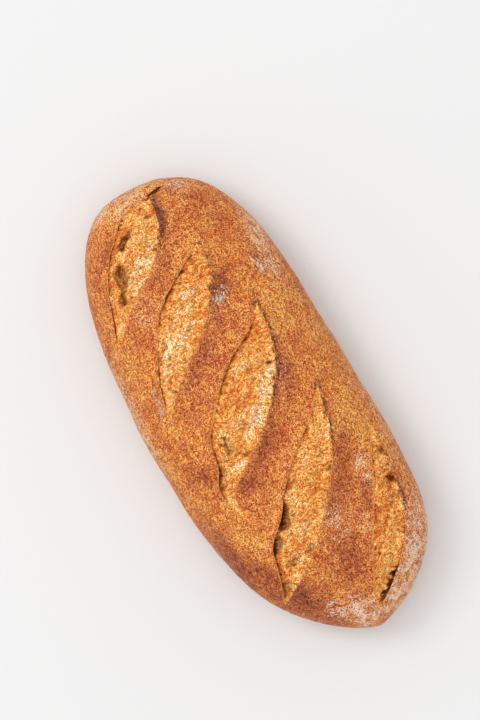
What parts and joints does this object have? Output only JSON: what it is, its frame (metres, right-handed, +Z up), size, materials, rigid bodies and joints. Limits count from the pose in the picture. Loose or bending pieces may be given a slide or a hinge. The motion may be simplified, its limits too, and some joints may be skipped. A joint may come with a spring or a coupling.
{
  "type": "sourdough loaf",
  "caption": "Long oval hearth-baked loaf with slanting scores burst open over torn crumb, raised ears of crust and a flat base.",
  "frame": {"origin": "under the middle of the loaf, on the surface that it lies on", "axes": "+X along the loaf towards its narrower end, +Z up, +Y towards the side where the scores start"},
  "size_m": [0.3202, 0.1386, 0.0798],
  "materials": {
    "crust": "dry browned crust with a light dusting of flour, satin over the ears"
  },
  "bodies": {
    "root": {"sourdough_loaf": "crust"}
  },
  "joints": []
}
